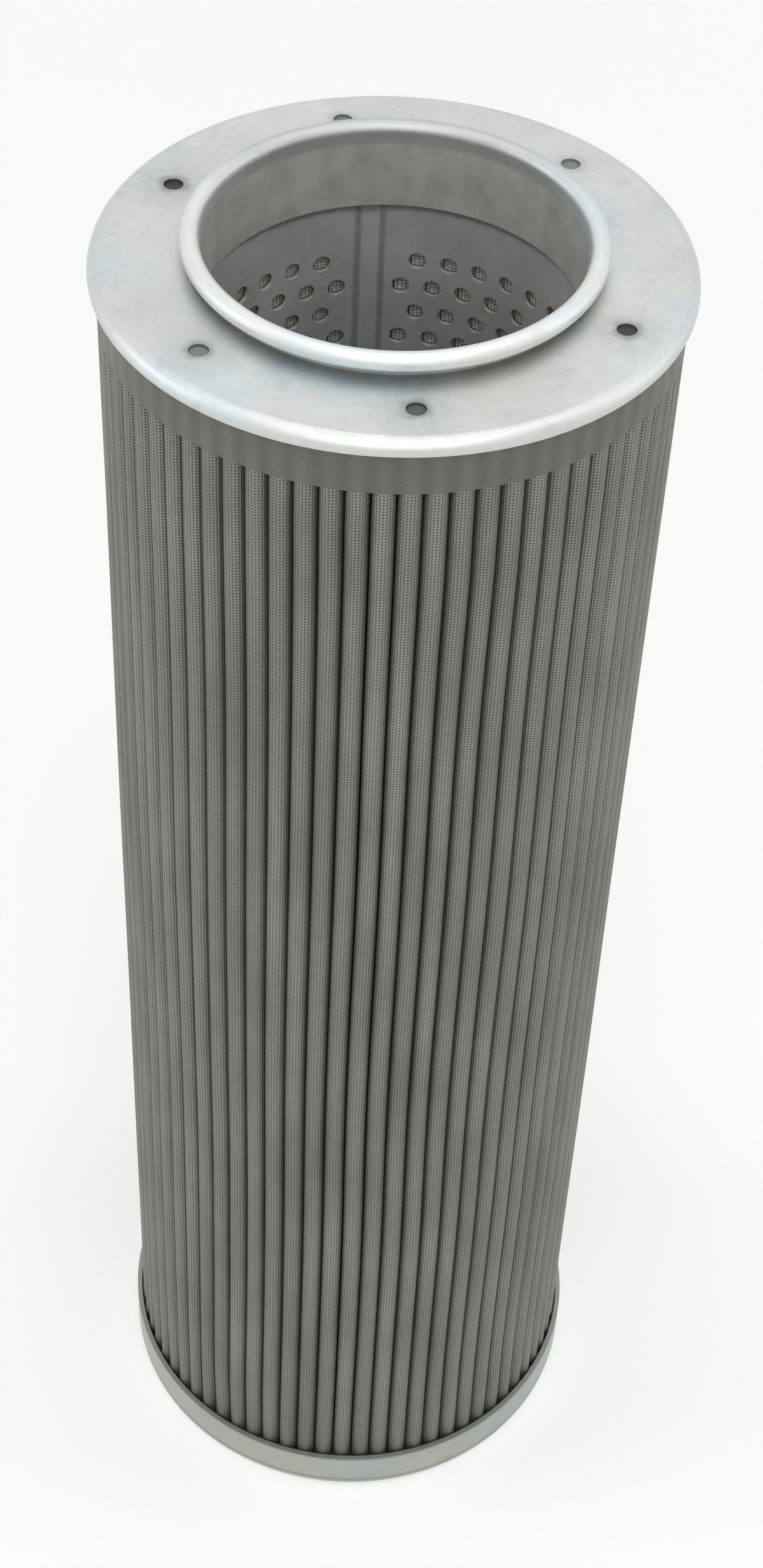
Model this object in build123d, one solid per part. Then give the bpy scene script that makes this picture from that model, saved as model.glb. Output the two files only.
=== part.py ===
from build123d import *
import os
from math import acos, cos, degrees, radians, sin, sqrt

# Pleated filter element: a perforated centre tube inside a folded pack of mesh and filter medium, with both
# ends of the pack cast in resin inside a metal end cap. The upper cap carries an open collar with a rolled
# bead, the lower cap is closed.
#
# Millimetres and degrees. The element stands on its lower cap: the axis is Z and the foot is at Z = 0.

# ---- driving dimensions -------------------------------------------------------------------------------

# whole element
element_length = 446.0  # foot to the upper face of the upper cap
cap_diameter = 150.0  # both caps

# upper cap, pressed from sheet
upper_sheet = 1.5
upper_rim_height = 3.8
upper_edge_radius = 3.2  # outside
vent_diameter = 5.0
vent_circle_diameter = 124.0
vent_angles = (-136.0, -84.0, -26.0, 45.0, 104.0, 155.0)  # set by hand, so not quite even

# lower cap, a closed cup
lower_sheet = 1.5
lower_skirt_height = 16.0
lower_edge_radius = 2.5  # outside

# collar: a sleeve through the upper cap with a rolled bead above it
bore_diameter = 95.2
collar_wall = 1.5
collar_height = 6.9  # above the upper face of the cap
collar_depth = 17.0  # below the upper face of the cap
bead_width = 4.9

# centre tube, rolled from perforated sheet and closed with a lock seam
tube_wall = 1.0
seam_angle = 95.0
seam_width = 6.0
seam_rise = 0.9  # the seam stands this far inside the tube
perforation_diameter = 5.0
perforation_columns = 12
perforation_rows = 10
perforation_margin = 26.0  # unperforated length at each end of the open tube

# folded pack
pleat_count = 72
pleat_width = 4.0  # one pleat across its two flanks
crest_rise = 0.75  # the round of a crest above its two shoulders
outer_mesh_thickness = 0.5
medium_thickness = 0.8
inner_mesh_thickness = 0.4

# resin
upper_resin_depth = 16.0  # below the upper face of the upper cap
lower_resin_height = 10.0  # above the floor of the lower cap
vent_fill_depth = 0.7  # resin in a vent hole stops this far below the face

# clearances
collar_play = 0.05  # collar in the upper cap
tube_play = 0.1  # centre tube round the collar
pack_play = 0.3  # folded pack round the centre tube
rim_play = 0.5  # folded pack inside the rims of the caps
layer_play = 0.02  # between two layers of the pack
resin_play = 0.05  # resin to the metal beside it
tube_stand_off = 2.0  # foot of the centre tube above the floor of the lower cap

# ---- derived sizes ------------------------------------------------------------------------------------

cap_radius = cap_diameter / 2
upper_face = element_length
upper_underside = upper_face - upper_sheet
collar_foot = upper_face - collar_depth
resin_underside = upper_face - upper_resin_depth
lower_resin_top = lower_sheet + lower_resin_height

bore_radius = bore_diameter / 2
collar_radius = bore_radius + collar_wall
tube_inner_radius = collar_radius + tube_play
tube_outer_radius = tube_inner_radius + tube_wall
tube_foot = lower_sheet + tube_stand_off
pack_radius = cap_radius - max(upper_sheet, lower_sheet) - rim_play
crest_radius = ((pleat_width / 2) ** 2 + crest_rise**2) / (2 * crest_rise)
pack_inner_radius = tube_outer_radius + pack_play
pack_thickness = outer_mesh_thickness + medium_thickness + inner_mesh_thickness + 2 * layer_play


# ---- profiles and helpers -----------------------------------------------------------------------------


def turned(*runs):
    """A solid of revolution about Z from the runs of lines that close its section in the XZ plane."""
    return revolve(make_face([edge for run in runs for edge in run.edges()]), Axis.Z)


def ring(inner, outer, bottom, top):
    """A plain round ring, or a disc if inner is 0."""
    section = Polyline((inner, 0, bottom), (outer, 0, bottom), (outer, 0, top), (inner, 0, top), close=True)
    return revolve(make_face(section), Axis.Z)


def round_edge(centre, radius, start, sweep):
    """An arc in the XZ plane, round the point centre, counted from +X towards +Z."""
    x, z = centre
    at = lambda a: (x + radius * cos(radians(a)), 0, z + radius * sin(radians(a)))
    return ThreePointArc(at(start), at(start + sweep / 2), at(start + sweep))


# ---- pieces -------------------------------------------------------------------------------------------


def make_upper_cap():
    """Flat pressed flange with its outer edge turned down, a hole for the collar and the vent holes."""
    hole = collar_radius + collar_play
    inner_edge = upper_edge_radius - upper_sheet
    turn = (cap_radius - upper_edge_radius, upper_face - upper_edge_radius)
    rim_foot = upper_face - upper_rim_height
    rim_inside = cap_radius - upper_sheet
    outer_arc = round_edge(turn, upper_edge_radius, 0, 90)
    inner_arc = round_edge(turn, inner_edge, 90, -90)
    cap = turned(
        Line((cap_radius, 0, rim_foot), outer_arc @ 0),
        outer_arc,
        Polyline(outer_arc @ 1, (hole, 0, upper_face), (hole, 0, upper_underside), inner_arc @ 0),
        inner_arc,
        Polyline(inner_arc @ 1, (rim_inside, 0, rim_foot), (cap_radius, 0, rim_foot)),
    )
    return cap - vent_pins(vent_diameter / 2, upper_underside - 1, upper_face + 1)


def vent_pins(radius, bottom, top):
    """Upright pins on the circle of the vent holes."""
    pin = extrude(Plane.XY.offset(bottom) * Circle(radius), top - bottom)
    return [Rot(0, 0, angle) * Pos(vent_circle_diameter / 2, 0, 0) * pin for angle in vent_angles]


def make_collar():
    """Sleeve with a round bead at its top; the bead stands out over the neck."""
    bead = bead_width / 2
    centre = (bore_radius + bead, upper_face + collar_height - bead)
    neck_angle = degrees(acos((bead - collar_wall) / bead))
    arc = round_edge(centre, bead, 180, neck_angle - 360)
    return turned(
        arc,
        Polyline(arc @ 1, (collar_radius, 0, collar_foot), (bore_radius, 0, collar_foot), arc @ 0),
    )


def make_upper_resin():
    """Resin under the upper cap, flush with the crests of the pack, with a plug in each vent hole."""
    inner = tube_outer_radius + resin_play
    top = upper_underside - resin_play
    corner = upper_edge_radius - upper_sheet
    arc = round_edge((pack_radius - corner, top - corner), corner, 0, 90)
    body = turned(
        Line((pack_radius, 0, resin_underside), arc @ 0),
        arc,
        Polyline(arc @ 1, (inner, 0, top), (inner, 0, resin_underside), (pack_radius, 0, resin_underside)),
    )
    plugs = vent_pins(vent_diameter / 2 - resin_play, resin_underside + corner, upper_face - vent_fill_depth)
    return body + plugs


def fold_line(depth, rounded):
    """Closed line of the pack's folds at a depth under its outer skin, as edges in the XY plane.

    The crests are round or, inside the pack, flat from shoulder to shoulder."""
    half = pleat_width / 2 - depth
    valley = pack_inner_radius + pack_thickness - depth
    centre = pack_radius - crest_radius
    shoulder = centre + sqrt((crest_radius - depth) ** 2 - half**2)
    left, right = (-half, shoulder), (half, shoulder)
    crest = ThreePointArc(left, (0, pack_radius - depth), right) if rounded else Line(left, right)
    # one pleat about +Y, with the valley that leads to the next pleat
    pitch = 360 / pleat_count
    next_pleat = Vector(-half, valley).rotate(Axis.Z, -pitch)
    pleat = [Line((-half, valley), left), crest, Line(right, (half, valley)), Line((half, valley), next_pleat)]
    return [Rot(0, 0, -k * pitch) * edge for k in range(pleat_count) for edge in pleat]


def make_layer(depth, thickness, rounded=False):
    """One layer of the folded pack, from its depth under the outer skin inwards."""
    section = make_face(fold_line(depth, rounded)) - make_face(fold_line(depth + thickness, rounded))
    return extrude(Plane.XY.offset(lower_resin_top) * section, resin_underside - lower_resin_top)


def seam_bar(grow, bottom, top):
    """The lock seam that stands inside the centre tube, or the groove that it needs."""
    inner = tube_inner_radius - seam_rise - grow
    outer = tube_inner_radius + tube_wall / 2
    across = seam_width / 2 + grow
    turn = Rot(0, 0, seam_angle)
    bar = Pos((inner + outer) / 2, 0, (bottom + top) / 2) * Box(outer - inner, 2 * across, top - bottom)
    return turn * bar


def perforations():
    """Radial cutters for the centre tube: staggered rows that leave the lock seam whole."""
    first = lower_resin_top + perforation_margin
    pitch = (collar_foot - perforation_margin - first) / (perforation_rows - 1)
    step = 360 / perforation_columns
    cutters = []
    for row in range(perforation_rows):
        shift = (row % 2) / 2
        for column in range(perforation_columns - row % 2):
            turn = Rot(0, 0, seam_angle + (column + 0.5 + shift) * step)
            across = Plane((tube_inner_radius - 1, 0, first + row * pitch), z_dir=(1, 0, 0))
            cutters.append(turn * extrude(across * Circle(perforation_diameter / 2), tube_wall + 2))
    return cutters


def make_centre_tube():
    tube = ring(tube_inner_radius, tube_outer_radius, tube_foot, upper_underside - resin_play)
    return tube + seam_bar(0, tube_foot, collar_foot - tube_play) - perforations()


def make_lower_resin():
    """Resin disc in the lower cap, with a groove that holds the foot of the centre tube and its seam."""
    rim = cap_radius - lower_sheet - resin_play
    foot = lower_sheet + resin_play
    corner = lower_edge_radius - lower_sheet
    arc = round_edge((rim - corner, foot + corner), corner, -90, 90)
    disc = turned(
        Line((0, 0, foot), arc @ 0),
        arc,
        Polyline(arc @ 1, (rim, 0, lower_resin_top), (0, 0, lower_resin_top), (0, 0, foot)),
    )
    groove_foot = tube_foot - resin_play
    above = lower_resin_top + 1
    groove = ring(tube_inner_radius - resin_play, tube_outer_radius + resin_play, groove_foot, above)
    return disc - groove - seam_bar(resin_play, groove_foot, above)


def make_lower_cap():
    """Closed pressed cup with a rounded foot."""
    inside = cap_radius - lower_sheet
    turn = (cap_radius - lower_edge_radius, lower_edge_radius)
    outer_arc = round_edge(turn, lower_edge_radius, -90, 90)
    inner_arc = round_edge(turn, lower_edge_radius - lower_sheet, 0, -90)
    return turned(
        Line((0, 0, 0), outer_arc @ 0),
        outer_arc,
        Polyline(outer_arc @ 1, (cap_radius, 0, lower_skirt_height), (inside, 0, lower_skirt_height), inner_arc @ 0),
        inner_arc,
        Polyline(inner_arc @ 1, (0, 0, lower_sheet), (0, 0, 0)),
    )


# ---- build --------------------------------------------------------------------------------------------

pieces = {
    "upper_end_cap": make_upper_cap(),
    "collar": make_collar(),
    "upper_resin": make_upper_resin(),
    "outer_mesh": make_layer(0, outer_mesh_thickness, rounded=True),
    "filter_medium": make_layer(outer_mesh_thickness + layer_play, medium_thickness),
    "inner_mesh": make_layer(pack_thickness - inner_mesh_thickness, inner_mesh_thickness),
    "centre_tube": make_centre_tube(),
    "lower_resin": make_lower_resin(),
    "lower_end_cap": make_lower_cap(),
}

os.makedirs("parts", exist_ok=True)
for name, piece in pieces.items():
    export_step(piece, f"parts/{name}.step")
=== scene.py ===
import math
from collections import namedtuple

import bmesh
import bpy
from bpy.props import FloatProperty, FloatVectorProperty, IntProperty, PointerProperty
from mathutils import Matrix, Vector


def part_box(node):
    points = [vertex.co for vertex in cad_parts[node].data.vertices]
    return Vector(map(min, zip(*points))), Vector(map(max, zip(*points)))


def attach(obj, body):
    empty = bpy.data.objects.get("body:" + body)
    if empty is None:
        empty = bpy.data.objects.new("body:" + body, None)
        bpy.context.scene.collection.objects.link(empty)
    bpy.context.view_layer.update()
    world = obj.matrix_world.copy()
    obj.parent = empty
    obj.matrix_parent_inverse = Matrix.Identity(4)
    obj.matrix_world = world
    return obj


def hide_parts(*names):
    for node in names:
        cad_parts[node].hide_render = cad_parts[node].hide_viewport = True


bl_info = {
    "name": "Pleated filter element",
    "version": (1, 0, 0),
    "blender": (4, 5, 0),
    "location": "View3D > Sidebar > Filter",
    "description": "Dresses a pleated filter element and sets its studio",
    "category": "Object",
}

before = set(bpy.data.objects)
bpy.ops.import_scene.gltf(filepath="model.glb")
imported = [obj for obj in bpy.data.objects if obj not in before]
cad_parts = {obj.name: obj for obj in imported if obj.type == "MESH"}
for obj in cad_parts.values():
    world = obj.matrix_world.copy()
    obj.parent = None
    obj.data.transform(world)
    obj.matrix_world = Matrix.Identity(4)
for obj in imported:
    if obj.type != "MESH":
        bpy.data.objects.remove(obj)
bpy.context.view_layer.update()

MM = 0.001
TURN = 2 * math.pi

# ---- places read from the frame ----------------------------------------------------------------------

_, CAP_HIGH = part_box("upper_end_cap")
COLLAR_LOW, COLLAR_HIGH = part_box("collar")
PACK_LOW, PACK_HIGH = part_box("outer_mesh")
TUBE_LOW, TUBE_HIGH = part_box("centre_tube")
_, CUP_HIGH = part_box("lower_end_cap")

# ---- places set here ---------------------------------------------------------------------------------

# the vent holes of the upper cap: angle from +X, how strongly resin has stained the cap round it, and how
# dark its plug is
VENTS = (
    (-136, 0.7, 0.3),
    (-84, 0.8, 0.75),
    (-26, 0.8, 0.95),
    (45, 0.35, 0.25),
    (104, 0.4, 0.3),
    (155, 0.8, 1.0),
)
VENT_CIRCLE_RADIUS = 62 * MM
PLUG_FOOT = CAP_HIGH.z - 1.45 * MM  # resin above this height is a plug in a vent hole

# the rows of perforations, in millimetres: five steps to each of the nine between the solid tube's ten
# rows, and two more rows below them
LOWEST_SOLID_ROW = 37.5
HIGHEST_SOLID_ROW = 403.0
HOLE_ROW_PITCH = (HIGHEST_SOLID_ROW - LOWEST_SOLID_ROW) / 9 / 5
ROWS_BELOW = 2

ARC_STEPS = 8  # straight runs round one crest
OUTER_ROWS = 30  # straight runs up a fold of the layer that shows
HIDDEN_ROWS = 18  # and of the layers behind it

# how the folds stray, in cells of noise for each metre across and up: a stray that neighbours share, and a
# smaller one of each pleat's own
SHARED_STRAY = (20.0, 20.0, 9.0)
OWN_STRAY = (90.0, 90.0, 6.0)
OWN_SHARE = 0.22
SIDE_STRAY = 2.4  # times the wander
OUT_STRAY = 0.6
HELD_HEIGHT = 35 * MM  # over which a fold comes free of a cast end


# ---- sizes and colours that a user would change ------------------------------------------------------


def length(name, description, millimetres):
    return FloatProperty(name=name, description=description, default=millimetres * MM, unit="LENGTH", min=0)


def colour(name, description, default):
    return FloatVectorProperty(
        name=name, description=description, default=default, subtype="COLOR", size=3, min=0, max=1
    )


class FilterSizes(bpy.types.PropertyGroup):
    """Sizes of the pieces that are dressed here"""

    pleats: IntProperty(name="Pleats", description="Folds round the pack", default=72, min=12)
    pleat_width: length("Pleat width", "One pleat across its two flanks, at its root", 4.0)
    crest_width: length("Crest width", "One pleat across its rounded crest", 5.75)
    valley_radius: length("Valley radius", "From the axis to the bottom of the valleys", 52.54)
    outer_cloth: length("Outer cloth", "Thickness of the outer wire cloth", 0.5)
    medium_sheet: length("Medium", "Thickness of the filter medium", 0.8)
    inner_cloth: length("Inner cloth", "Thickness of the inner wire cloth", 0.4)
    layer_play: length("Layer play", "Between two layers of the pack", 0.08)
    wander: length("Wander", "How far the folds stray from their true lines", 0.9)
    wire_pitch: length("Wire pitch", "Distance between two wires of the cloth", 0.9)
    tube_wall: length("Tube wall", "Thickness of the perforated sheet", 1.0)
    hole_diameter: length("Hole diameter", "Diameter of one perforation", 5.0)
    hole_columns: IntProperty(name="Hole columns", description="Perforations in one row", default=36, min=6)
    hole_rows: IntProperty(name="Hole rows", description="Rows of perforations", default=49, min=3)
    hole_row_pitch: length("Hole row pitch", "Height from one row to the next", HOLE_ROW_PITCH)
    first_hole_row: length(
        "First hole row", "Height of the lowest row", LOWEST_SOLID_ROW - ROWS_BELOW * HOLE_ROW_PITCH
    )
    seam_angle: FloatProperty(
        name="Seam angle",
        description="Turn of the lock seam from +X",
        default=math.radians(98),
        subtype="ANGLE",
    )
    seam_width: length("Seam width", "Width of the lock seam", 6.0)
    seam_rise: length("Seam rise", "How far the seam stands inside the tube", 0.9)


class FilterColours(bpy.types.PropertyGroup):
    """Colours of the finishes"""

    wire: colour("Wire", "Wires of the folded cloth", (0.33, 0.335, 0.30))
    # the gap colour is painted shade in the openings between the wires and on their sides
    gap: colour("Gap", "Between the wires of the cloth", (0.11, 0.11, 0.095))
    medium: colour("Medium", "Folded filter medium", (0.72, 0.71, 0.65))
    resin: colour("Resin", "Cast resin", (0.17, 0.17, 0.145))
    # this colour also gives the painted shade round the collar's neck and on the back of its bead
    oil: colour("Oil", "Old oil and grime on the metal", (0.16, 0.175, 0.155))
    cap: colour("Cap", "Sheet of the upper cap", (0.575, 0.59, 0.585))
    vent_plug: colour("Vent plug", "Resin under its skin in the vent holes", (0.30, 0.315, 0.29))
    sleeve: colour("Sleeve", "Dull inside of the collar", (0.51, 0.52, 0.485))
    collar: colour("Collar", "Collar and its bead", (0.76, 0.78, 0.775))
    cup: colour("Cup", "Sheet of the lower cap", (0.455, 0.465, 0.43))
    tube: colour("Tube", "Perforated sheet", (0.67, 0.66, 0.665))
    floor: colour("Floor", "Floor of the studio", (0.86, 0.86, 0.85))


# ---- building node trees -----------------------------------------------------------------------------


class Value:
    """What a socket of a node tree gives. Arithmetic on it adds math nodes to the tree."""

    def __init__(self, tree, socket):
        self.tree = tree
        self.socket = socket

    def __add__(self, other):
        return maths(self.tree, "ADD", self, other)

    def __sub__(self, other):
        return maths(self.tree, "SUBTRACT", self, other)

    def __rsub__(self, other):
        return maths(self.tree, "SUBTRACT", other, self)

    def __mul__(self, other):
        return maths(self.tree, "MULTIPLY", self, other)

    def __truediv__(self, other):
        return maths(self.tree, "DIVIDE", self, other)


def feed(tree, socket, value):
    """Links a socket to a value of the tree, or sets it to a plain one."""
    if isinstance(value, Value):
        tree.links.new(value.socket, socket)
    elif socket.type == "RGBA":
        socket.default_value = (value[0], value[1], value[2], 1.0)
    else:
        socket.default_value = value


def add(tree, kind, feeds=(), **settings):
    """A new node. Feeds are its input values, in order or by name, and settings are its own choices."""
    made = tree.nodes.new(kind)
    for name, value in settings.items():
        setattr(made, name, value)
    given = feeds.items() if isinstance(feeds, dict) else enumerate(feeds)
    for spot, value in given:
        feed(tree, made.inputs[spot], value)
    return made


def give(tree, kind, feeds=(), output=0, **settings):
    """What one output of a new node gives."""
    return Value(tree, add(tree, kind, feeds, **settings).outputs[output])


def maths(tree, operation, *values):
    return give(tree, "ShaderNodeMath", values, operation=operation)


def vector(tree, x=0.0, y=0.0, z=0.0):
    return give(tree, "ShaderNodeCombineXYZ", (x, y, z))


def vector_maths(tree, operation, *values):
    output = "Value" if operation in ("LENGTH", "DISTANCE") else "Vector"
    return give(tree, "ShaderNodeVectorMath", values, output, operation=operation)


def scaled(tree, value, amount):
    """A vector or a colour times a number."""
    return give(tree, "ShaderNodeVectorMath", {"Vector": value, "Scale": amount}, "Vector", operation="SCALE")


def axes(tree, where):
    return [Value(tree, axis) for axis in add(tree, "ShaderNodeSeparateXYZ", (where,)).outputs]


def polar(tree, where):
    """Radius, angle and height of a place round the axis."""
    x, y, z = axes(tree, where)
    return vector_maths(tree, "LENGTH", vector(tree, x, y)), maths(tree, "ARCTAN2", y, x), z


def spread(tree, value, low, high, to_low=0.0, to_high=1.0, shape="LINEAR"):
    """A value, with its range from low to high spread over another range."""
    feeds = (value, low, high, to_low, to_high)
    return give(tree, "ShaderNodeMapRange", feeds, interpolation_type=shape)


def blend(tree, factor, first, second, kind="MIX"):
    """A mix of two colours. The node's sockets 6 and 7 take the colours, and its output 2 gives one."""
    return give(tree, "ShaderNodeMix", {0: factor, 6: first, 7: second}, 2, data_type="RGBA", blend_type=kind)


def noise(tree, coordinates, scale, detail=3.0, roughness=0.5):
    feeds = {"Vector": coordinates, "Scale": scale, "Detail": detail, "Roughness": roughness}
    return give(tree, "ShaderNodeTexNoise", feeds)


def new_group(name, kind, takes, gives):
    """A node group with its named sockets, and the values that it takes."""
    group = bpy.data.node_groups.new(name, kind)
    for label, socket in gives:
        group.interface.new_socket(label, in_out="OUTPUT", socket_type="NodeSocket" + socket)
    for label, socket, default in takes:
        made = group.interface.new_socket(label, in_out="INPUT", socket_type="NodeSocket" + socket)
        if default is not None:
            made.default_value = default
    given = group.nodes.new("NodeGroupInput").outputs
    return group, {label: Value(group, given[label]) for label, _, _ in takes}


def send(group, **values):
    """Feeds a group's outputs, each by its name."""
    result = group.nodes.new("NodeGroupOutput")
    for label, value in values.items():
        feed(group, result.inputs[label], value)


def place(tree, effect, **feeds):
    """What a shared effect gives, each output by its name. Its group is built when it is first placed."""
    group = bpy.data.node_groups.get(effect.__name__) or effect()
    made = add(tree, "ShaderNodeGroup", feeds, node_tree=group)
    return {output.name: Value(tree, output) for output in made.outputs}


# ---- effects that several finishes share -------------------------------------------------------------


def woven_wire():
    """Plain weave of round wires, on coordinates in metres along and across the cloth. Its colour runs from
    the gap colour low down to the wire colour on top: painted shade on the wires' round sides and in the
    openings between them.
    """
    group, given = new_group(
        "woven_wire",
        "ShaderNodeTree",
        [
            ("Coordinates", "Vector", None),
            ("Pitch", "Float", 0.9 * MM),
            ("Wire", "Color", (0.3, 0.3, 0.25, 1)),
            ("Gap", "Color", (0.08, 0.08, 0.07, 1)),
        ],
        [("Colour", "Color"), ("Height", "Float"), ("Open", "Float")],
    )
    pitch = given["Pitch"]
    in_wires = vector_maths(group, "DIVIDE", given["Coordinates"], vector(group, pitch, pitch, pitch))
    u, v, _ = axes(group, in_wires)

    def wires(across, along, swing):
        """Height of the wires that run one way, as each goes over and under the wires that it crosses."""
        off_centre = maths(group, "ABSOLUTE", maths(group, "FRACT", across) - 0.5)
        section = maths(group, "POWER", off_centre * 3.1, 2.0)
        round_top = maths(group, "SQRT", maths(group, "MAXIMUM", 1.0 - section, 0.0))
        phase = along - 0.5 + maths(group, "FLOOR", across)
        wave = maths(group, "COSINE", phase * math.pi) * swing
        return round_top * (wave + 0.7)

    height = maths(group, "MAXIMUM", wires(u, v, 0.3), wires(v, u, -0.3))
    # painted shade: the lower a place on the wires, the nearer its colour to the gap colour
    shown = spread(group, height, 0.0, 0.75)
    send(group, Colour=blend(group, shown, given["Gap"], given["Wire"]), Height=height, Open=1.0 - shown)
    return group


def handled_sheet():
    """Sheet that has been handled: cloudy tone, grain drawn round the axis, a thin film, and small stains."""
    group, given = new_group(
        "handled_sheet",
        "ShaderNodeTree",
        [
            ("Coordinates", "Vector", None),
            ("Metal", "Color", (0.7, 0.7, 0.7, 1)),
            ("Stain", "Color", (0.3, 0.3, 0.27, 1)),
            ("Cloudiness", "Float", 0.2),
            ("Staining", "Float", 0.2),
            ("Roughness", "Float", 0.4),
            ("Grain", "Float", 0.5),
        ],
        [("Colour", "Color"), ("Roughness", "Float"), ("Height", "Float")],
    )
    where, cloudiness, staining, grain = (
        given[label] for label in ("Coordinates", "Cloudiness", "Staining", "Grain")
    )
    radius, angle, height = polar(group, where)
    clouds = noise(group, where, 42.0, 4.0, 0.6)
    specks = noise(group, where, 420.0, 2.0, 0.6)
    drawn = noise(group, vector(group, radius * 2600.0, angle * 9.0, height * 2600.0), 1.0, 2.0)
    tone = (clouds - 0.5) * cloudiness + (specks - 0.5) * (cloudiness * 0.6) + (drawn - 0.5) * (grain * 0.12)
    film = spread(group, noise(group, where, 24.0, 2.0), 0.4, 0.6, shape="SMOOTHSTEP")
    warm, cool = (1.0, 0.99, 0.965), (0.93, 0.98, 1.0)
    toned = blend(
        group, 1.0, scaled(group, given["Metal"], tone + 1.0), blend(group, film, warm, cool), "MULTIPLY"
    )
    blotches = spread(group, noise(group, where, 95.0, 5.0, 0.7), 0.58, 0.72)
    send(
        group,
        Colour=blend(group, blotches * staining, toned, given["Stain"]),
        Roughness=given["Roughness"] + (clouds - 0.45) * 0.25 + blotches * (staining * 0.3),
        Height=drawn * grain + specks * 0.4,
    )
    return group


def wear_and_shade_band():
    """A band where a value is near its middle, with a broken edge: edge wear, and painted shade in corners
    and under edges.
    """
    group, given = new_group(
        "wear_and_shade_band",
        "ShaderNodeTree",
        [
            ("Coordinates", "Vector", None),
            ("Value", "Float", 0.0),
            ("Middle", "Float", 0.0),
            ("Reach", "Float", MM),
            ("Breakup", "Float", 0.5),
        ],
        [("Mask", "Float")],
    )
    ragged = (noise(group, given["Coordinates"], 260.0, 4.0, 0.65) - 0.5) * given["Breakup"]
    near = 1.0 - maths(group, "ABSOLUTE", given["Value"] - given["Middle"]) / given["Reach"]
    send(group, Mask=spread(group, near + ragged, 0.0, 0.6, shape="SMOOTHSTEP"))
    return group


def wept_mark():
    """A soft stain round a place, with a ragged edge."""
    group, given = new_group(
        "wept_mark",
        "ShaderNodeTree",
        [
            ("Coordinates", "Vector", None),
            ("Centre", "Vector", None),
            ("Core", "Float", 2.5 * MM),
            ("Reach", "Float", 3 * MM),
        ],
        [("Mask", "Float")],
    )
    away = vector_maths(group, "DISTANCE", given["Coordinates"], given["Centre"])
    ragged = (noise(group, given["Coordinates"], 330.0, 3.0, 0.6) - 0.5) * 1.1
    spent = (away - given["Core"]) / given["Reach"] + ragged
    send(group, Mask=spread(group, spent, 0.1, 1.0, 1.0, 0.0, "SMOOTHSTEP"))
    return group


def pleat_print():
    """Soft upright stripes, one for each pleat of the pack."""
    group, given = new_group(
        "pleat_print",
        "ShaderNodeTree",
        [("Coordinates", "Vector", None), ("Pleats", "Float", 72.0)],
        [("Mask", "Float")],
    )
    _, angle, _ = polar(group, given["Coordinates"])
    turned = (angle - math.pi / 2) * given["Pleats"]
    send(group, Mask=maths(group, "COSINE", turned) * 0.5 + 0.5)
    return group


# ---- finishes ----------------------------------------------------------------------------------------

# a band of another colour on sheet metal, across the radius or the height, from its middle out to its reach
Band = namedtuple("Band", "across middle reach breakup colour strength")


def new_finish(name):
    """A material, and its tree."""
    finish = bpy.data.materials.new(name)
    finish.use_nodes = True
    return finish, finish.node_tree


def shader_socket(tree, label):
    return tree.nodes["Principled BSDF"].inputs[label.replace("_", " ")]


def shade(tree, **values):
    """Feeds sockets of a material's shader. A value's name is its socket's, with _ for a space."""
    for label, value in values.items():
        feed(tree, shader_socket(tree, label), value)


def shaded(tree, label):
    """What feeds a socket of a material's shader so far."""
    return Value(tree, shader_socket(tree, label).links[0].from_socket)


def bump(tree, height, distance, strength):
    feeds = {"Height": height, "Distance": distance, "Strength": strength}
    shade(tree, Normal=give(tree, "ShaderNodeBump", feeds))


def object_place(tree):
    return give(tree, "ShaderNodeTexCoord", output="Object")


def laid_flat(tree):
    """Place on a folded layer as if it were laid flat, in metres."""
    return give(tree, "ShaderNodeUVMap", uv_map="laid_flat")


def tinted(tone, factor):
    """A darker or a brighter shade of a colour."""
    return [part * factor for part in tone]


def finish_wire_cloth(name, wire, gap, pitch):
    """Fine woven wire cloth. Its tone differs a little from pleat to pleat."""
    finish, tree = new_finish(name)
    where = object_place(tree)
    _, angle, height = polar(tree, where)
    weave = place(tree, woven_wire, Coordinates=laid_flat(tree), Pitch=pitch, Wire=wire, Gap=gap)
    clouds = noise(tree, vector_maths(tree, "MULTIPLY", where, (1, 1, 0.35)), 60.0, 4.0, 0.6)
    cloudy = spread(tree, clouds, 0.3, 0.7, 0.0, 0.45)
    toned = blend(tree, cloudy, weave["Colour"], weave["Colour"], "MULTIPLY")
    by_pleat = noise(tree, vector(tree, angle * 15.0, 0.0, height * 5.0), 1.0, 2.0)
    toned = blend(tree, spread(tree, by_pleat, 0.35, 0.65, 0.0, 0.3), toned, tinted(wire, 0.5))
    grime = spread(tree, noise(tree, where, 180.0, 4.0, 0.7), 0.55, 0.75, 0.0, 0.35)
    shade(
        tree,
        Base_Color=blend(tree, grime, toned, tinted(wire, 0.45)),
        Roughness=spread(tree, weave["Open"], 0.0, 1.0, 0.42, 0.9),
        Metallic=spread(tree, weave["Open"], 0.0, 1.0, 0.75, 0.2),
    )
    bump(tree, weave["Height"], 0.22 * MM, 0.8)
    return finish


def finish_medium(name, fibre):
    """Off-white glass fibre sheet: matted fibres and soft yellow soiling."""
    finish, tree = new_finish(name)
    matted = noise(tree, laid_flat(tree), 1500.0, 5.0, 0.75)
    dull = blend(tree, spread(tree, matted, 0.35, 0.7), tinted(fibre, 0.72), fibre)
    soil = spread(tree, noise(tree, object_place(tree), 70.0), 0.45, 0.8, 0.0, 0.35)
    red, green, blue = fibre
    shade(
        tree,
        Base_Color=blend(tree, soil, dull, (red * 0.7, green * 0.62, blue * 0.5)),
        Roughness=spread(tree, matted, 0.3, 0.7, 0.8, 0.95),
        Sheen_Weight=0.15,
    )
    bump(tree, matted, 0.12 * MM, 0.7)
    return finish


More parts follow.
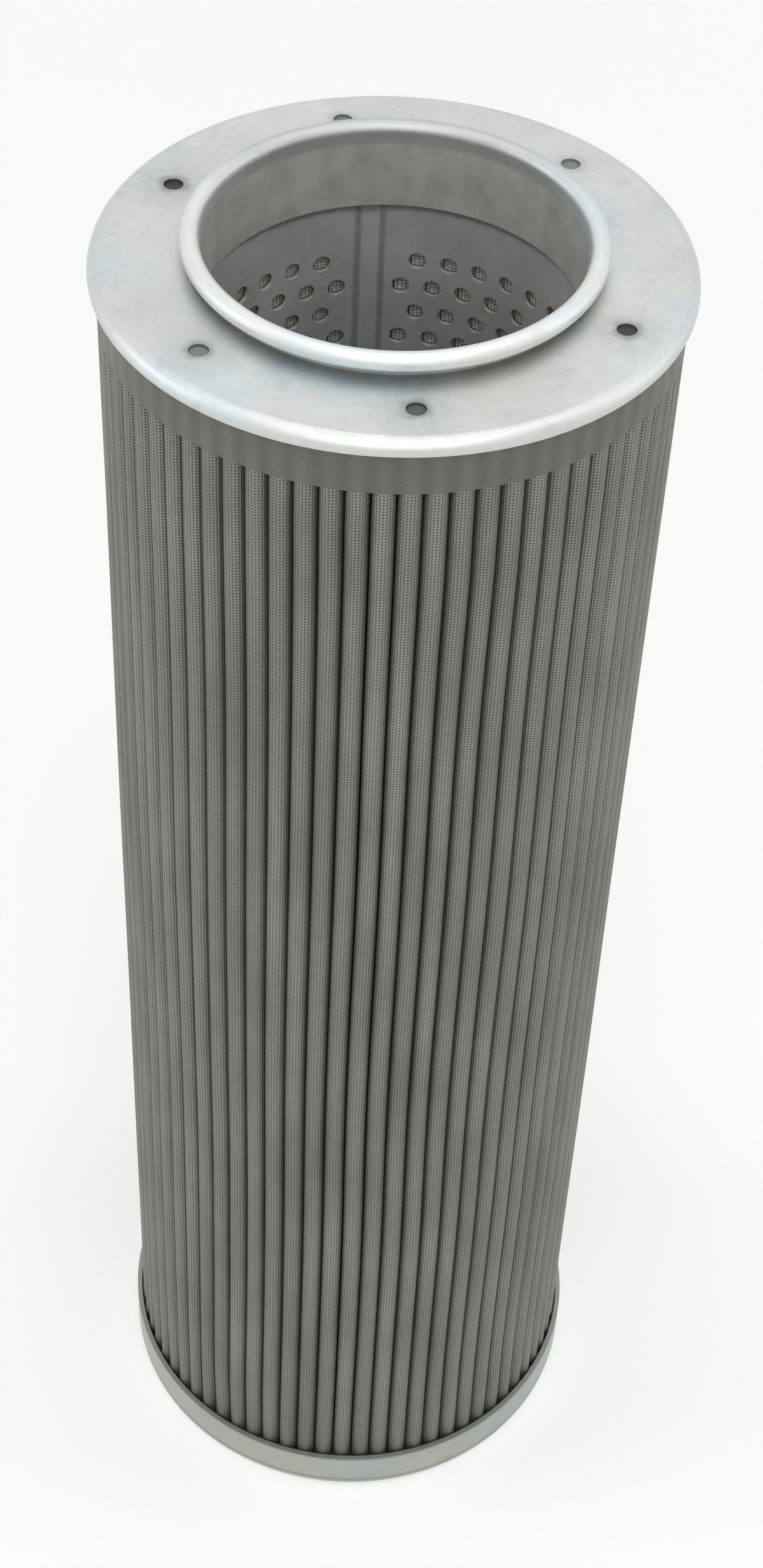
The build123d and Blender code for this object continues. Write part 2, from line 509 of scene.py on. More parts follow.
def finish_sheet(name, metal, stain, cloudiness, staining, roughness, grain, metallic, bands):
    """Handled sheet metal, with its bands of wear and painted shade."""
    finish, tree = new_finish(name)
    where = object_place(tree)
    radius, _, height = polar(tree, where)
    sheet = place(
        tree, handled_sheet, Coordinates=where, Metal=metal, Stain=stain, Cloudiness=cloudiness,
        Staining=staining, Roughness=roughness, Grain=grain,
    )
    shown = sheet["Colour"]
    for band in bands:
        mask = place(
            tree, wear_and_shade_band, Coordinates=where, Value=radius if band.across == "radius" else height,
            Middle=band.middle, Reach=band.reach, Breakup=band.breakup,
        )["Mask"]
        shown = blend(tree, mask * band.strength, shown, band.colour)
    shade(tree, Base_Color=shown, Roughness=sheet["Roughness"], Metallic=metallic)
    bump(tree, sheet["Height"], 0.03 * MM, 0.5)
    return finish


def roughen_collar(finish, dull, grime):
    """Darkens the back of the collar's bead with painted shade, and leaves all below its neck as dull,
    stained sheet.
    """
    tree = finish.node_tree
    where = object_place(tree)
    _, y, _ = axes(tree, where)
    _, angle, height = polar(tree, where)
    # painted shade: the bead is darkened towards its back with a tint of grime, which here also gives the
    # sleeve's real stains
    to_back = noise(tree, where, 60.0) * 0.03 + y
    back_shade = spread(tree, to_back, 20 * MM, 60 * MM, 0.0, 0.42, "SMOOTHSTEP")
    bead = blend(tree, back_shade, shaded(tree, "Base Color"), tinted(grime, 1.1))
    runs = noise(tree, vector(tree, angle * 6.0, 0.0, height * 90.0), 1.0, 5.0, 0.65)
    sleeve = blend(tree, spread(tree, runs, 0.4, 0.7, 0.0, 0.42), dull, grime)
    below = spread(tree, height, CAP_HIGH.z + 2.6 * MM, CAP_HIGH.z + 0.6 * MM, shape="SMOOTHSTEP")
    shade(
        tree,
        Base_Color=blend(tree, below, bead, sleeve),
        Metallic=spread(tree, below, 0.0, 1.0, 0.6, 0.25),
        Roughness=below * 0.22 + shaded(tree, "Roughness"),
    )


def add_seam_grime(finish, angle, width, grime):
    """A dark line along each edge of the tube's seam: grime, and painted shade in the corner where the seam
    meets the wall.
    """
    tree = finish.node_tree
    where = object_place(tree)
    x, y, _ = axes(tree, where)
    cosine, sine = math.cos(angle), math.sin(angle)
    across = maths(tree, "ABSOLUTE", y * cosine - x * sine)
    on_side = maths(tree, "GREATER_THAN", x * cosine + y * sine, 0.0)
    edge = width / 2 + 0.25 * MM
    # grime and painted shade where the seam's edge meets the wall
    line = place(
        tree, wear_and_shade_band, Coordinates=where, Value=across, Middle=edge, Reach=1.3 * MM, Breakup=0.7
    )["Mask"]
    shade(tree, Base_Color=blend(tree, line * on_side * 0.42, shaded(tree, "Base Color"), grime))


def vent_centre(angle):
    turn = math.radians(angle)
    return VENT_CIRCLE_RADIUS * math.cos(turn), VENT_CIRCLE_RADIUS * math.sin(turn), CAP_HIGH.z


def add_vent_marks(finish, grime):
    """Lets resin weep out round each vent hole: a narrow dark ring in a wide faint one."""
    tree = finish.node_tree
    where = object_place(tree)
    shown = shaded(tree, "Base Color")
    for angle, strength, _ in VENTS:
        for reach, share in ((3.2 * MM, 0.7), (12 * MM, 0.2)):
            mark = place(
                tree, wept_mark, Coordinates=where, Centre=vent_centre(angle), Core=2 * MM, Reach=reach
            )["Mask"]
            shown = blend(tree, mark * (strength * share), shown, grime)
    shade(tree, Base_Color=shown)


def add_vent_plugs(finish, pale, dark):
    """Resin in the vent holes: pale under a skin, or dark and oily, each hole by itself."""
    tree = finish.node_tree
    where = object_place(tree)
    tone = pale
    for angle, _, darkness in VENTS:
        away = vector_maths(tree, "DISTANCE", where, vent_centre(angle))
        tone = blend(tree, maths(tree, "LESS_THAN", away, 5 * MM) * darkness, tone, dark)
    _, _, height = axes(tree, where)
    in_vent = maths(tree, "GREATER_THAN", height, PLUG_FOOT)
    shade(tree, Base_Color=blend(tree, in_vent, shaded(tree, "Base Color"), tone))


def finish_resin(name, resin, print_strength, pleats):
    """Cast resin with a soft print of the pleats behind it, and pin holes darkened with painted shade."""
    finish, tree = new_finish(name)
    where = object_place(tree)
    clouds = noise(tree, where, 55.0, 4.0, 0.6)
    printed = place(tree, pleat_print, Coordinates=where, Pleats=float(pleats))["Mask"]
    from_hole = give(tree, "ShaderNodeTexVoronoi", {"Vector": where, "Scale": 420.0}, "Distance")
    smooth = spread(tree, from_hole, 0.06, 0.16)
    tone = blend(tree, spread(tree, clouds, 0.35, 0.7), tinted(resin, 0.86), tinted(resin, 1.16))
    tone = blend(tree, (1.0 - printed) * print_strength, tone, tinted(resin, 0.55))
    # painted shade in the pin holes
    tone = blend(tree, (1.0 - smooth) * 0.5, tone, tinted(resin, 0.4))
    shade(tree, Base_Color=tone, Roughness=spread(tree, clouds, 0.3, 0.7, 0.42, 0.62))
    bump(tree, printed * 0.7 + smooth * 0.3, 0.25 * MM, 0.5)
    return finish


def dress(node, finish):
    """Gives a CAD node its finish."""
    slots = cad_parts[node].material_slots
    if not slots:
        raise RuntimeError(f"{node} has no material slot")
    for slot in slots:
        slot.material = finish


# ---- mesh helpers ------------------------------------------------------------------------------------


def add_object(name, data):
    made = bpy.data.objects.new(name, data)
    bpy.context.scene.collection.objects.link(made)
    return made


def mesh_of(name, points, faces, uv=None):
    """A mesh from its points and faces, with one UV pair for each face corner where uv is given."""
    mesh = bpy.data.meshes.new(name)
    mesh.from_pydata(points, [], faces)
    if uv:
        layer = mesh.uv_layers.new(name="laid_flat")
        for loop in mesh.loops:
            layer.data[loop.index].uv = uv[loop.index]
    mesh.update()
    return mesh


def run_tree(name, tree, given, finish):
    """Runs a geometry tree on an empty mesh, and gives its result as a plain object at the origin."""
    empty = bpy.data.meshes.new(name)
    made = add_object(name, empty)
    live = made.modifiers.new("tree", "NODES")
    live.node_group = tree
    for socket in tree.interface.items_tree:
        if socket.in_out == "INPUT" and socket.name in given:
            live[socket.identifier] = given[socket.name]
    made.update_tag()
    bpy.context.view_layer.update()
    evaluated = made.evaluated_get(bpy.context.evaluated_depsgraph_get())
    mesh = bpy.data.meshes.new_from_object(evaluated)
    made.modifiers.clear()
    made.data = mesh
    bpy.data.meshes.remove(empty)
    mesh.name = name
    mesh.materials.clear()
    mesh.materials.append(finish)
    mesh.polygons.foreach_set("material_index", [0] * len(mesh.polygons))
    if not mesh.polygons:
        raise RuntimeError(f"{name} came out empty")
    return made


def hand_over(made, node, sharp_angle):
    """Smooths a finished piece up to its sharp edges, and lets it stand for its CAD node."""
    made.data.shade_smooth()
    made.data.set_sharp_from_angle(angle=math.radians(sharp_angle))
    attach(made, "root")
    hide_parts(node)


# ---- the folded pack ---------------------------------------------------------------------------------


def fold_section(sizes, depth):
    """Line of one pleat about +Y, at a depth under the pack's outer skin, from valley to valley."""
    root = sizes.pleat_width / 2 - depth
    crest = sizes.crest_width / 2 - depth
    shoulder = PACK_HIGH.y - sizes.crest_width / 2
    valley = sizes.valley_radius - depth
    half_turn = math.pi / sizes.pleats
    left = [
        (-valley * math.sin(half_turn), valley * math.cos(half_turn)),
        (-root, valley),
        (-(root + crest) / 2, (valley + shoulder) / 2),
    ]
    arc = []
    for k in range(ARC_STEPS + 1):
        angle = math.pi * (k / ARC_STEPS - 0.5)
        arc.append((crest * math.sin(angle), shoulder + crest * math.cos(angle)))
    return left + arc + [(-x, y) for x, y in reversed(left)]


def pleat_strip(name, sizes, depth, thickness, rows):
    """One pleat of a layer, open only where it meets its neighbours, and its length if laid flat."""
    skins = fold_section(sizes, depth), fold_section(sizes, depth + thickness)
    run = [0.0]
    for (x0, y0), (x1, y1) in zip(skins[0], skins[0][1:]):
        run.append(run[-1] + math.hypot(x1 - x0, y1 - y0))
    heights = [PACK_LOW.z + (PACK_HIGH.z - PACK_LOW.z) * row / rows for row in range(rows + 1)]
    points = [(x, y, z) for z in heights for skin in skins for x, y in skin]
    count = len(run)
    faces, uv = [], []

    def add_face(corners, spots, turned):
        """A face from its corners, each a row, a skin and a place along the fold, turned over if asked."""
        face = [(2 * row + skin) * count + k for row, skin, k in corners]
        faces.append(face[::-1] if turned else face)
        uv.extend(spots[::-1] if turned else spots)

    for row in range(rows):
        low, high = heights[row], heights[row + 1]
        for k in range(count - 1):
            spots = [(run[k], low), (run[k + 1], low), (run[k + 1], high), (run[k], high)]
            for skin in (0, 1):
                corners = [(row, skin, k), (row, skin, k + 1), (row + 1, skin, k + 1), (row + 1, skin, k)]
                add_face(corners, spots, turned=skin == 0)
    for row in (0, rows):
        z = heights[row]
        for k in range(count - 1):
            spots = [(run[k], z), (run[k + 1], z), (run[k + 1], z + thickness), (run[k], z + thickness)]
            corners = [(row, 0, k), (row, 0, k + 1), (row, 1, k + 1), (row, 1, k)]
            add_face(corners, spots, turned=row == rows)
    return add_object(name, mesh_of(name, points, faces, uv)), run[-1]


def stray(tree, spot, cells, seed):
    """Smooth noise about zero at a place, with so many cells for each metre across, across and up."""
    feeds = {"Vector": vector_maths(tree, "MULTIPLY", spot, cells), "W": seed, "Scale": 1.0, "Detail": 0.0}
    drift = give(tree, "ShaderNodeTexNoise", feeds, "Color", noise_dimensions="4D")
    return vector_maths(tree, "SUBTRACT", drift, (0.5, 0.5, 0.5))


def fold_tree():
    """Sets one pleat round the axis, joins the pleats, and lets each stray between its two cast ends."""
    tree, given = new_group(
        "folded_layer",
        "GeometryNodeTree",
        [
            ("Pleat", "Object", None),
            ("Pleats", "Int", 72),
            ("Wander", "Float", 0.3 * MM),
            ("Foot", "Float", 0.0),
            ("Head", "Float", 1.0),
            ("Valley", "Float", 0.05),
            ("Crest", "Float", 0.07),
            ("Seed", "Float", 7.0),
            ("Finish", "Material", None),
        ],
        [("Geometry", "Geometry")],
    )
    pleat = give(tree, "GeometryNodeObjectInfo", {"Object": given["Pleat"]}, "Geometry")
    spots = give(tree, "GeometryNodePoints", {"Count": given["Pleats"]})
    turn = give(tree, "GeometryNodeInputIndex") * TURN / given["Pleats"]
    feeds = {"Points": spots, "Instance": pleat, "Rotation": vector(tree, z=turn)}
    placed = give(tree, "GeometryNodeInstanceOnPoints", feeds)
    whole = give(tree, "GeometryNodeRealizeInstances", {"Geometry": placed})
    joined = give(tree, "GeometryNodeMergeByDistance", {"Geometry": whole, "Distance": 0.01 * MM})

    spot = give(tree, "GeometryNodeInputPosition")
    x, y, z = axes(tree, spot)
    level = vector(tree, x, y)
    outward = vector_maths(tree, "NORMALIZE", level)
    sideways = vector_maths(tree, "CROSS_PRODUCT", vector(tree, z=1.0), outward)
    from_foot = spread(tree, z - given["Foot"], 0.0, HELD_HEIGHT, shape="SMOOTHSTEP")
    from_head = spread(tree, given["Head"] - z, 0.0, HELD_HEIGHT, shape="SMOOTHSTEP")
    from_valley = spread(tree, vector_maths(tree, "LENGTH", level), given["Valley"], given["Crest"])
    reach = from_foot * from_head * (from_valley * given["Wander"])
    shared = stray(tree, spot, SHARED_STRAY, given["Seed"])
    own = scaled(tree, stray(tree, spot, OWN_STRAY, given["Seed"]), OWN_SHARE)
    to_side, out, _ = axes(tree, vector_maths(tree, "ADD", shared, own))
    offset = vector_maths(
        tree, "ADD",
        scaled(tree, sideways, to_side * SIDE_STRAY * reach),
        scaled(tree, outward, out * OUT_STRAY * reach),
    )
    moved = give(tree, "GeometryNodeSetPosition", {"Geometry": joined, "Offset": offset})
    finished = give(tree, "GeometryNodeSetMaterial", {"Geometry": moved, "Material": given["Finish"]})
    send(tree, Geometry=finished)
    return tree


def finish_layer(slot, run, sizes, colours):
    """Finish of one layer. Whole wires are fitted to one pleat, so that the weave runs on across the next."""
    if slot == "medium":
        return finish_medium("glass_fibre", colours.medium)
    pitch = run / round(run / sizes.wire_pitch)
    if slot == "steel_mesh":
        return finish_wire_cloth("outer_wire_cloth", colours.wire, colours.gap, pitch)
    # painted light: the inner cloth is the same wire made twice as bright, to lighten it where it shows
    # through the tube's holes
    return finish_wire_cloth("inner_wire_cloth", tinted(colours.wire, 2.0), colours.gap, pitch)


class FILTER_OT_folded_pack(bpy.types.Operator):
    """Makes the three folded layers of the pack: outer wire cloth, filter medium and inner wire cloth"""

    bl_idname = "filter.folded_pack"
    bl_label = "Folded pack"

    def execute(self, context):
        sizes, colours = context.scene.filter_sizes, context.scene.filter_colours
        tree = fold_tree()
        depth = 0.0
        for name, node, slot, thickness, rows in (
            ("outer_cloth", "outer_mesh", "steel_mesh", sizes.outer_cloth, OUTER_ROWS),
            ("medium_sheet", "filter_medium", "medium", sizes.medium_sheet, HIDDEN_ROWS),
            ("inner_cloth", "inner_mesh", "support_mesh", sizes.inner_cloth, HIDDEN_ROWS),
        ):
            strip, run = pleat_strip(name + "_pleat", sizes, depth, thickness, rows)
            finish = finish_layer(slot, run, sizes, colours)
            given = {
                "Pleat": strip, "Pleats": sizes.pleats, "Wander": sizes.wander, "Foot": PACK_LOW.z,
                "Head": PACK_HIGH.z, "Valley": sizes.valley_radius, "Crest": PACK_HIGH.y, "Finish": finish,
            }
            made = run_tree(name, tree, given, finish)
            bpy.data.objects.remove(strip)
            hand_over(made, node, sharp_angle=50)
            if slot == "medium":
                flat = (run * sizes.pleats, PACK_HIGH.z - PACK_LOW.z)
            depth += thickness + sizes.layer_play
        return {"FINISHED"}


# ---- the perforated tube -----------------------------------------------------------------------------


def holed_tile(name, wide, high, thick, hole):
    """A tile of sheet about the origin, in the XZ plane, open at its edges, with a round hole.

    Each of its edges has four runs, so that rows half a tile apart still share their points."""
    rim = [(wide * (k / 4 - 0.5), -high / 2) for k in range(4)]
    rim += [(wide / 2, high * (k / 4 - 0.5)) for k in range(4)]
    rim += [(-x, -z) for x, z in rim]
    round_hole = []
    for x, z in rim:
        angle = math.atan2(z / high, x / wide)
        round_hole.append((hole / 2 * math.cos(angle), hole / 2 * math.sin(angle)))
    points = [(x, y, z) for y in (thick / 2, -thick / 2) for x, z in rim + round_hole]
    count = len(rim)
    back = 2 * count
    faces = []
    for k in range(count):
        n = (k + 1) % count
        faces.append([k, k + count, n + count, n])
        faces.append([back + k, back + n, back + n + count, back + k + count])
        faces.append([k + count, back + k + count, back + n + count, n + count])
    return add_object(name, mesh_of(name, points, faces))


def plain_tile(name, wide, thick):
    """A tile like the holed one, one metre high and without a hole."""
    places = [(wide * (i / 4 - 0.5), j / 4 - 0.5) for j in range(5) for i in range(5)]
    points = [(x, y, z) for y in (thick / 2, -thick / 2) for x, z in places]
    faces = []
    for back in (0, len(places)):
        for j in range(4):
            for i in range(4):
                a = back + 5 * j + i
                faces.append([a, a + 1, a + 6, a + 5] if back else [a, a + 5, a + 6, a + 1])
    return add_object(name, mesh_of(name, points, faces))


def tube_tree():
    """Rows of tiles, holed or plain, rolled into a tube that is left plain along its seam."""
    tree, given = new_group(
        "perforated_tube",
        "GeometryNodeTree",
        [
            ("Holed tile", "Object", None),
            ("Plain tile", "Object", None),
            ("Columns", "Int", 36),
            ("Rows", "Int", 49),
            ("Row pitch", "Float", 8 * MM),
            ("First row", "Float", 20 * MM),
            ("Foot", "Float", 0.0),
            ("Head", "Float", 0.4),
            ("Middle radius", "Float", 50 * MM),
            ("Seam angle", "Float", 0.0),
            ("Finish", "Material", None),
        ],
        [("Geometry", "Geometry")],
    )
    columns, rows, pitch, first = (given[label] for label in ("Columns", "Rows", "Row pitch", "First row"))
    foot, head, middle = (given[label] for label in ("Foot", "Head", "Middle radius"))
    # one point for each tile, with a row of plain tiles below the holes and one above them
    spots = give(tree, "GeometryNodePoints", {"Count": (rows + 2.0) * columns})
    index = give(tree, "GeometryNodeInputIndex")
    row = maths(tree, "FLOOR", (index + 0.5) / columns) - 1.0
    column = maths(tree, "MODULO", index, columns)
    even = 1.0 - maths(tree, "ABSOLUTE", maths(tree, "MODULO", row, 2.0))
    arc = middle * TURN / columns
    along = (even * 0.5 + column) * arc
    bottom = first - pitch * 0.5
    top = bottom + rows * pitch
    below = maths(tree, "LESS_THAN", row, -0.5)
    above = maths(tree, "GREATER_THAN", row, rows - 0.5)

    def by_row(usual, at_foot, at_head):
        lower = give(tree, "GeometryNodeSwitch", (below, usual, at_foot), input_type="FLOAT")
        return give(tree, "GeometryNodeSwitch", (above, lower, at_head), input_type="FLOAT")

    tall = by_row(pitch, bottom - foot, head - top)
    height = by_row(row * pitch + first, (bottom + foot) * 0.5, (top + head) * 0.5)
    flat_place = vector(tree, along, 0.0, height)
    laid = give(tree, "GeometryNodeSetPosition", {"Geometry": spots, "Position": flat_place})
    from_seam = maths(tree, "PINGPONG", along, middle * math.pi)
    at_seam = maths(tree, "LESS_THAN", from_seam, arc * 0.75)
    unholed = maths(tree, "MINIMUM", below + above + at_seam, 1.0)
    is_holed = maths(tree, "LESS_THAN", unholed, 0.5)
    tiles = add(tree, "GeometryNodeJoinGeometry")
    for label, chosen, scale in (
        ("Holed tile", is_holed, (1, 1, 1)),
        ("Plain tile", unholed, vector(tree, 1.0, 1.0, tall)),
    ):
        tile = give(tree, "GeometryNodeObjectInfo", {"Object": given[label]}, "Geometry")
        feeds = {"Points": laid, "Selection": chosen, "Instance": tile, "Scale": scale}
        feed(tree, tiles.inputs[0], give(tree, "GeometryNodeInstanceOnPoints", feeds))
    whole = give(tree, "GeometryNodeRealizeInstances", {"Geometry": Value(tree, tiles.outputs[0])})

    x, y, z = axes(tree, give(tree, "GeometryNodeInputPosition"))
    angle = x / middle + given["Seam angle"]
    radius = middle + y
    rolled = vector(tree, radius * maths(tree, "COSINE", angle), radius * maths(tree, "SINE", angle), z)
    tube = give(tree, "GeometryNodeSetPosition", {"Geometry": whole, "Position": rolled})
    closed = give(tree, "GeometryNodeMergeByDistance", {"Geometry": tube, "Distance": 0.02 * MM})
    finished = give(tree, "GeometryNodeSetMaterial", {"Geometry": closed, "Material": given["Finish"]})
    send(tree, Geometry=finished)
    return tree


def close_ends(mesh):
    """Closes the ring at each end of a tube, and turns every face outwards."""
    work = bmesh.new()
    work.from_mesh(mesh)
    open_edges = [edge for edge in work.edges if edge.is_boundary]
    middle = (TUBE_LOW.z + TUBE_HIGH.z) / 2
    for upper in (False, True):
        ring = [edge for edge in open_edges if (edge.verts[0].co.z > middle) == upper]
        if not ring:
            raise RuntimeError("the tube has no open end")
        bmesh.ops.bridge_loops(work, edges=ring)
    left = [edge for edge in work.edges if not edge.is_manifold]
    if left:
        raise RuntimeError(f"the tube is open at {len(left)} edges")
    bmesh.ops.recalc_face_normals(work, faces=work.faces)
    work.to_mesh(mesh)
    work.free()


def add_lock_seam(mesh, sizes):
    """Adds the lock seam inside the tube: a flattened hem with rounded shoulders, let into the wall."""
    wall = TUBE_HIGH.x - sizes.tube_wall
    half, rise, let_in = sizes.seam_width / 2, sizes.seam_rise, 0.45 * MM
    side = [(half, -let_in), (half, rise * 0.55), (half * 0.93, rise * 0.88), (half * 0.8, rise)]
    section = side + [(-x, inward) for x, inward in reversed(side)]
    work = bmesh.new()
    work.from_mesh(mesh)
    turn = Matrix.Rotation(sizes.seam_angle, 4, "Z")
    foot, head = (
        [work.verts.new(turn @ Vector((wall - inward, x, z))) for x, inward in section]
        for z in (TUBE_LOW.z, COLLAR_LOW.z - 0.1 * MM)
    )
    made = []
    for k in range(len(section)):
        n = (k + 1) % len(section)
        made.append(work.faces.new([foot[k], foot[n], head[n], head[k]]))
    made.append(work.faces.new(foot))
    made.append(work.faces.new(head[::-1]))
    bmesh.ops.recalc_face_normals(work, faces=made)
    work.to_mesh(mesh)
    work.free()


def finish_tube(sizes, tone):
    """Dull perforated sheet with painted shadow under the collar, and grime with painted shade beside the
    seam.
    """
    finish = finish_sheet(
        "perforated_sheet", metal=tone, stain=tinted(tone, 0.5), cloudiness=0.35, staining=0.5, roughness=0.5,
        grain=0.4, metallic=0.6,
        # painted shadow of the collar's lower edge on the tube
        bands=[Band("height", COLLAR_LOW.z - 0.6 * MM, 2.6 * MM, 0.6, tinted(tone, 0.35), 0.7)],
    )
    add_seam_grime(finish, sizes.seam_angle, sizes.seam_width, tinted(tone, 0.25))
    return finish


class FILTER_OT_perforated_tube(bpy.types.Operator):
    """Makes the perforated centre tube with its lock seam"""

    bl_idname = "filter.perforated_tube"
    bl_label = "Perforated tube"

    def execute(self, context):
        sizes = context.scene.filter_sizes
        middle = TUBE_HIGH.x - sizes.tube_wall / 2
        wide = TURN * middle / sizes.hole_columns
        holed = holed_tile("holed_tile", wide, sizes.hole_row_pitch, sizes.tube_wall, sizes.hole_diameter)
        plain = plain_tile("plain_tile", wide, sizes.tube_wall)
        finish = finish_tube(sizes, context.scene.filter_colours.tube)
        given = {
            "Holed tile": holed, "Plain tile": plain, "Columns": sizes.hole_columns, "Rows": sizes.hole_rows,
            "Row pitch": sizes.hole_row_pitch, "First row": sizes.first_hole_row, "Foot": TUBE_LOW.z,
            "Head": TUBE_HIGH.z, "Middle radius": middle, "Seam angle": sizes.seam_angle, "Finish": finish,
        }
        made = run_tree("perforated_tube", tube_tree(), given, finish)
        bpy.data.objects.remove(holed)
        bpy.data.objects.remove(plain)
        close_ends(made.data)
        add_lock_seam(made.data, sizes)
        hand_over(made, "centre_tube", sharp_angle=35)
        return {"FINISHED"}


# ---- metal and resin that keep their solids ----------------------------------------------------------


def finish_cap(sheet, oil):
    """Pressed cap: its edge worn bright, painted shadow of the collar's bead round its neck, and stained vent
    holes.
    """
    neck = COLLAR_HIGH.x - 3.4 * MM
    finish = finish_sheet(
        "pressed_cap", metal=sheet, stain=tinted(sheet, 0.55), cloudiness=0.26, staining=0.3, roughness=0.42,
        grain=0.5, metallic=1.0,
        bands=[
            Band("radius", CAP_HIGH.x - 1.2 * MM, 2.2 * MM, 0.5, tinted(sheet, 1.12), 0.2),
            # painted shadow of the collar's bead on the flange, round its neck
            Band("radius", neck, 2.6 * MM, 1.2, oil, 0.4),
        ],
    )
    add_vent_marks(finish, oil)
    return finish


def finish_collar(sheet, sleeve, oil):
    """Smooth bead over a neck darkened with painted shade, and a dull sleeve below it."""
    finish = finish_sheet(
        "rolled_bead", metal=sheet, stain=tinted(sheet, 0.6), cloudiness=0.14, staining=0.2, roughness=0.42,
        grain=0.35, metallic=1.0,
        # painted shade on the neck under the bead
        bands=[Band("height", CAP_HIGH.z + 0.4 * MM, 1.8 * MM, 0.5, oil, 0.5)],
    )
    roughen_collar(finish, sleeve, oil)
    return finish


def finish_cup(sheet):
    """Pressed cup, with painted shade along its lower bend and its rim."""
    # dark is both the cup's real stain and the painted shade of its two bands
    dark = tinted(sheet, 0.6)
    return finish_sheet(
        "pressed_cup", metal=sheet, stain=dark, cloudiness=0.26, staining=0.35, roughness=0.48, grain=0.5,
        metallic=0.8,
        bands=[
            # painted shade along the lower bend, and along the rim where it meets the pleats
            Band("height", 3.4 * MM, 0.9 * MM, 0.7, dark, 0.6),
            Band("height", CUP_HIGH.z, 1.2 * MM, 0.7, dark, 0.7),
        ],
    )


class FILTER_OT_pressed_metal(bpy.types.Operator):
    """Gives the upper cap, the collar and the lower cap their metal finishes"""

    bl_idname = "filter.pressed_metal"
    bl_label = "Caps and collar"

    def execute(self, context):
        colours = context.scene.filter_colours
        dress("upper_end_cap", finish_cap(colours.cap, colours.oil))
        dress("collar", finish_collar(colours.collar, colours.sleeve, colours.oil))
        dress("lower_end_cap", finish_cup(colours.cup))
        return {"FINISHED"}


class FILTER_OT_cast_resin(bpy.types.Operator):
    """Gives both resin castings their finishes"""

    bl_idname = "filter.cast_resin"
    bl_label = "Resin"

    def execute(self, context):
        sizes, colours = context.scene.filter_sizes, context.scene.filter_colours
        upper = finish_resin("resin_over_pleats", colours.resin, 0.5, sizes.pleats)
        add_vent_plugs(upper, colours.vent_plug, tinted(colours.resin, 0.12))
        dress("upper_resin", upper)
        dress("lower_resin", finish_resin("resin_disc", colours.resin, 0.0, sizes.pleats))
        return {"FINISHED"}


# ---- studio ------------------------------------------------------------------------------------------


def seen_rays(tree):
    """1 for a ray that the eye follows straight, in a reflection or through glass."""
    path = add(tree, "ShaderNodeLightPath").outputs
    straight, mirrored, through = (
        Value(tree, path[kind]) for kind in ("Is Camera Ray", "Is Glossy Ray", "Is Transmission Ray")
    )
    return maths(tree, "MAXIMUM", maths(tree, "MAXIMUM", straight, mirrored), through)


def lay_floor(tone):
    """A wide pale floor that keeps the element's shadow and fades to white away from it."""
    finish, tree = new_finish("studio_floor")
    where = object_place(tree)
    radius, _, _ = polar(tree, where)
    glow = spread(tree, radius, 0.6, 3.0, 0.34, 0.72, "SMOOTHSTEP")
    shade(
        tree,
        Base_Color=blend(tree, noise(tree, where, 3.0), tone, tinted(tone, 0.985)),
        Roughness=0.9,
        Specular_IOR_Level=0.1,
        Emission_Color=(1, 1, 1),
        Emission_Strength=seen_rays(tree) * glow,
    )
    reach = 6.0
    corners = [(-reach, -reach, 0), (reach, -reach, 0), (reach, reach, 0), (-reach, reach, 0)]
    mesh = mesh_of("floor", corners, [(0, 1, 2, 3)])
    mesh.materials.append(finish)
    add_object("floor", mesh)


def fill_air(scene):
    """White air behind the element that lights it only a little."""
    world = bpy.data.worlds.new("studio_air")
    world.use_nodes = True
    tree = world.node_tree
    air = tree.nodes["Background"].inputs
    feed(tree, air["Color"], (1, 1, 1))
    feed(tree, air["Strength"], spread(tree, seen_rays(tree), 0.0, 1.0, 0.35, 1.0))
    scene.world = world


def add_softbox(name, spot, aim_height, wide, high, watts):
    """A soft lamp that looks at a height on the element's axis."""
    lamp = bpy.data.lights.new(name, "AREA")
    lamp.shape = "RECTANGLE"
    lamp.size = wide
    lamp.size_y = high
    lamp.energy = watts
    made = add_object(name, lamp)
    made.location = spot
    made.rotation_euler = (Vector((0, 0, aim_height)) - Vector(spot)).to_track_quat("-Z", "Y").to_euler()


def aim_camera(scene):
    """A camera above the front of the element that looks down at 45 degrees, and is turned a little."""
    lens = bpy.data.cameras.new("camera")
    lens.lens = 62.18
    lens.sensor_width = 36
    lens.sensor_fit = "AUTO"
    lens.clip_start = 0.01
    in_front, above_cap = 0.55815, 0.37568
    yaw, pitch, roll = 0.0054, 0.7858, 0.0485
    forward = Vector((math.sin(yaw) * math.cos(pitch), math.cos(yaw) * math.cos(pitch), -math.sin(pitch)))
    level = Vector((math.cos(yaw), -math.sin(yaw), 0))
    upright = level.cross(forward)
    right = math.cos(roll) * level + math.sin(roll) * upright
    up = math.cos(roll) * upright - math.sin(roll) * level
    turned = Matrix((right, up, -forward)).transposed().to_4x4()
    scene.camera = add_object("camera", lens)
    scene.camera.matrix_world = Matrix.Translation((0, -in_front, CAP_HIGH.z + above_cap)) @ turned


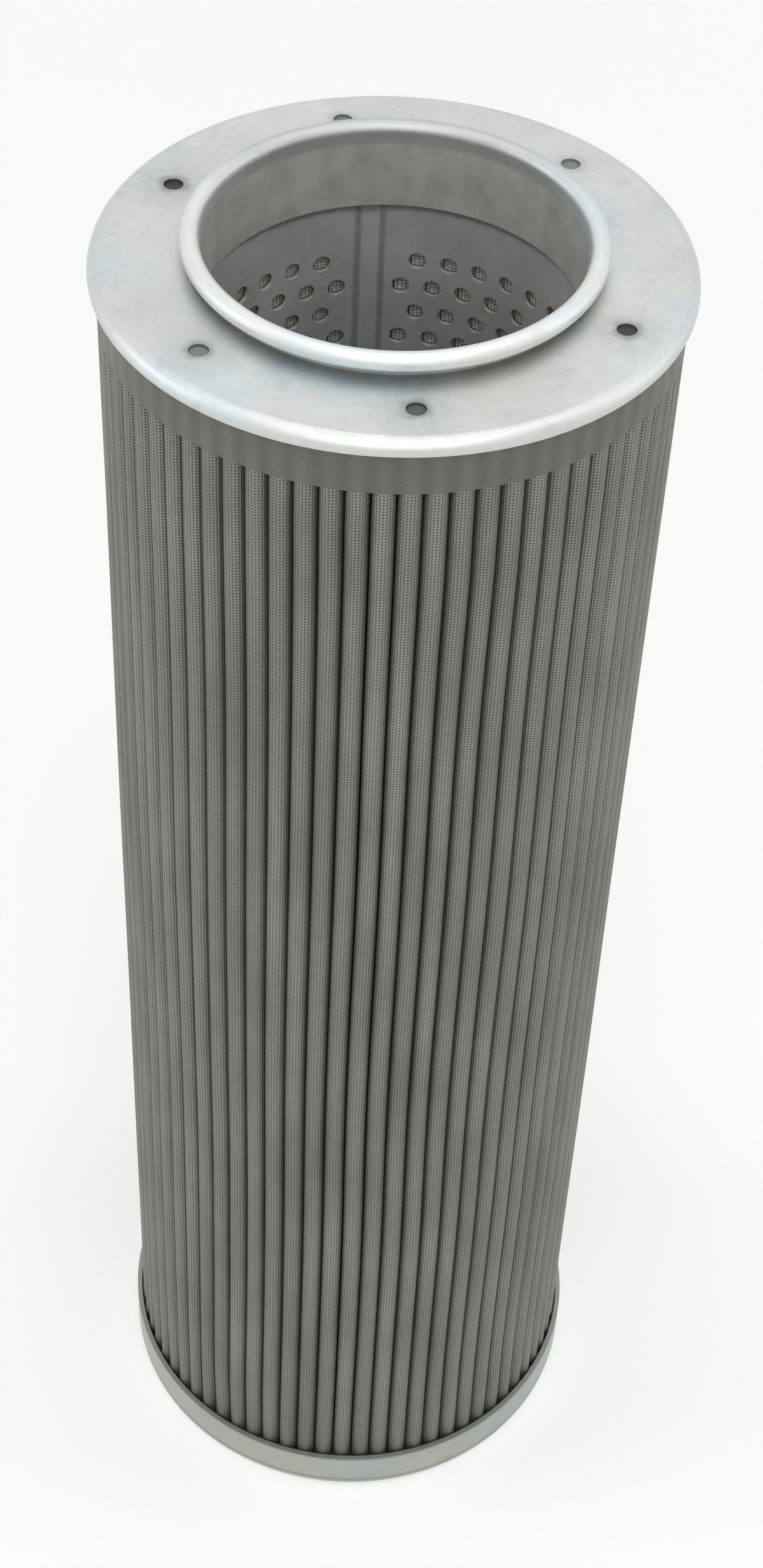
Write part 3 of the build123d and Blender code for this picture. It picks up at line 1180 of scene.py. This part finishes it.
class FILTER_OT_studio(bpy.types.Operator):
    """Sets the floor, the world, the soft lamps and the camera"""

    bl_idname = "filter.studio"
    bl_label = "Studio"

    def execute(self, context):
        lay_floor(context.scene.filter_colours.floor)
        fill_air(context.scene)
        add_softbox("overhead", (0.1, 0.1, 2.4), 0.3, 2.6, 2.6, 15)
        add_softbox("front", (0.1, -1.6, 2.0), 0.3, 2.2, 2.0, 17)
        add_softbox("left", (-1.9, -0.1, 1.1), 0.25, 1.0, 1.6, 6)
        add_softbox("right", (1.9, 0.2, 1.1), 0.25, 1.0, 1.6, 4)
        aim_camera(context.scene)
        context.scene.view_settings.view_transform = "Standard"
        return {"FINISHED"}


# ---- panel and registration --------------------------------------------------------------------------

PIECES = (
    FILTER_OT_studio,
    FILTER_OT_folded_pack,
    FILTER_OT_perforated_tube,
    FILTER_OT_pressed_metal,
    FILTER_OT_cast_resin,
)


class VIEW3D_PT_filter_element(bpy.types.Panel):
    """Sizes, colours and pieces of the filter element"""

    bl_label = "Filter element"
    bl_space_type = "VIEW_3D"
    bl_region_type = "UI"
    bl_category = "Filter"

    def draw(self, context):
        for group in (context.scene.filter_sizes, context.scene.filter_colours):
            column = self.layout.column(align=True)
            for name in group.__annotations__:
                column.prop(group, name)
        for piece in PIECES:
            self.layout.operator(piece.bl_idname)


CLASSES = (FilterSizes, FilterColours, *PIECES, VIEW3D_PT_filter_element)


def register():
    for made in CLASSES:
        bpy.utils.register_class(made)
    bpy.types.Scene.filter_sizes = PointerProperty(type=FilterSizes)
    bpy.types.Scene.filter_colours = PointerProperty(type=FilterColours)


def unregister():
    del bpy.types.Scene.filter_colours
    del bpy.types.Scene.filter_sizes
    for made in reversed(CLASSES):
        bpy.utils.unregister_class(made)


def main():
    register()
    bpy.ops.filter.studio()
    bpy.ops.filter.folded_pack()
    bpy.ops.filter.perforated_tube()
    bpy.ops.filter.pressed_metal()
    bpy.ops.filter.cast_resin()
    bpy.context.view_layer.update()


if __name__ == "__main__":
    main()
